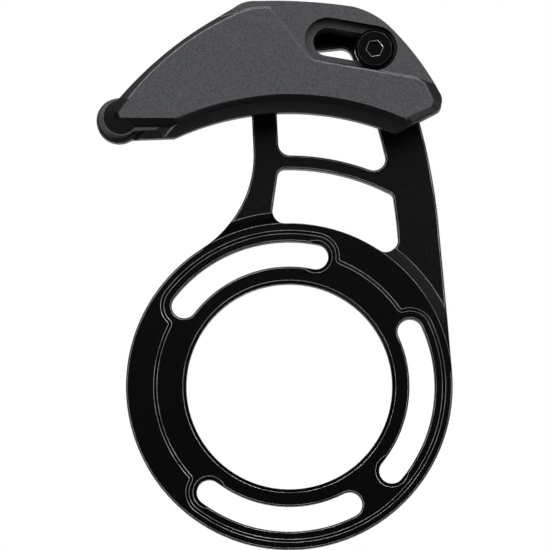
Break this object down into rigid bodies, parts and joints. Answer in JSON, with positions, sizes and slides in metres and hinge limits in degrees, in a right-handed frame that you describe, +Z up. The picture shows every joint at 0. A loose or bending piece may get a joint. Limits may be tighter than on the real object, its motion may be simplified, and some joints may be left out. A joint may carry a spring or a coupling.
{
  "type": "bicycle chain guide",
  "caption": "Bicycle chain guide: black machined backplate with curved mounting slots and a grey moulded chain cage clamped by a hex bolt in a sliding slot.",
  "frame": {"origin": "on the bottom-bracket axis, at the ring's rear face, which meets the bicycle frame's tabs", "axes": "+Z up towards the chain cage, +X to the viewer's right on the drive side, -Y out of the drive side towards the viewer"},
  "size_m": [0.075, 0.023, 0.1139],
  "materials": {
    "plate": "machined, black anodised, semi-gloss",
    "outer_moulding": "fine matte texture, dark grey",
    "inner_moulding": "satin, black",
    "bolt": "black oxide steel, satin",
    "screws": "black oxide steel, satin"
  },
  "bodies": {
    "plate": {"backplate": "plate", "clamp_bolt": "bolt"},
    "cage": {"outer_cage": "outer_moulding", "inner_cage": "inner_moulding", "cage_screws": "screws"}
  },
  "joints": [
    {"name": "cage_slide", "type": "slide", "parent": "plate", "child": "cage", "axis": [0.9854, 0, -0.1702], "range_m": [0, 0.01]}
  ]
}
